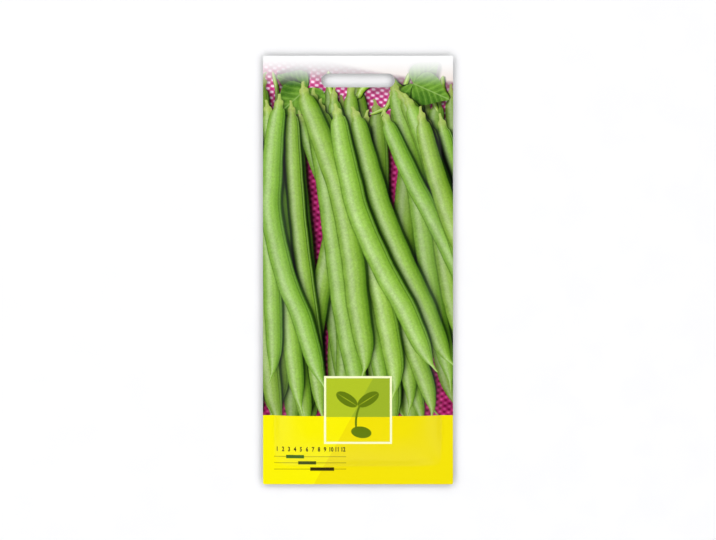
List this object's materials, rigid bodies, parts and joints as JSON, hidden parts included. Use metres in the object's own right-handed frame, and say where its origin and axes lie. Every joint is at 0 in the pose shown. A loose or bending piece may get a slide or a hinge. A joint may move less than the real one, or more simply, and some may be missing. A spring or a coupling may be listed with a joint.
{
  "type": "seed packet",
  "caption": "Flat sealed packet of bean seeds: two printed laminate sheets sealed on all four margins, with a header slot for a display peg.",
  "frame": {"origin": "middle of the packet's outline, on the surface that its back lies on", "axes": "+X across the packet to the printed front's right, +Y up the printed front towards the header with the slot, +Z out of the printed front"},
  "size_m": [0.0826, 0.186, 0.0079],
  "materials": {
    "front_print": "coated laminate, satin, printed in full colour",
    "back_print": "coated laminate, satin, printed",
    "seed_coat": "smooth dry seed coat, slight polish"
  },
  "bodies": {
    "root": {"front_sheet": "front_print", "back_sheet": "back_print", "bean_seed_01": "seed_coat", "bean_seed_02": "seed_coat", "bean_seed_03": "seed_coat", "bean_seed_04": "seed_coat", "bean_seed_05": "seed_coat", "bean_seed_06": "seed_coat", "bean_seed_07": "seed_coat", "bean_seed_08": "seed_coat", "bean_seed_09": "seed_coat", "bean_seed_10": "seed_coat", "bean_seed_11": "seed_coat", "bean_seed_12": "seed_coat", "bean_seed_13": "seed_coat", "bean_seed_14": "seed_coat", "bean_seed_15": "seed_coat", "bean_seed_16": "seed_coat", "bean_seed_17": "seed_coat", "bean_seed_18": "seed_coat", "bean_seed_19": "seed_coat", "bean_seed_20": "seed_coat", "bean_seed_21": "seed_coat", "bean_seed_22": "seed_coat", "bean_seed_23": "seed_coat", "bean_seed_24": "seed_coat", "bean_seed_25": "seed_coat", "bean_seed_26": "seed_coat", "bean_seed_27": "seed_coat", "bean_seed_28": "seed_coat", "bean_seed_29": "seed_coat", "bean_seed_30": "seed_coat", "bean_seed_31": "seed_coat", "bean_seed_32": "seed_coat", "bean_seed_33": "seed_coat", "bean_seed_34": "seed_coat", "bean_seed_35": "seed_coat", "bean_seed_36": "seed_coat", "bean_seed_37": "seed_coat", "bean_seed_38": "seed_coat", "bean_seed_39": "seed_coat", "bean_seed_40": "seed_coat", "bean_seed_41": "seed_coat", "bean_seed_42": "seed_coat", "bean_seed_43": "seed_coat", "bean_seed_44": "seed_coat", "bean_seed_45": "seed_coat", "bean_seed_46": "seed_coat", "bean_seed_47": "seed_coat", "bean_seed_48": "seed_coat"}
  },
  "joints": []
}
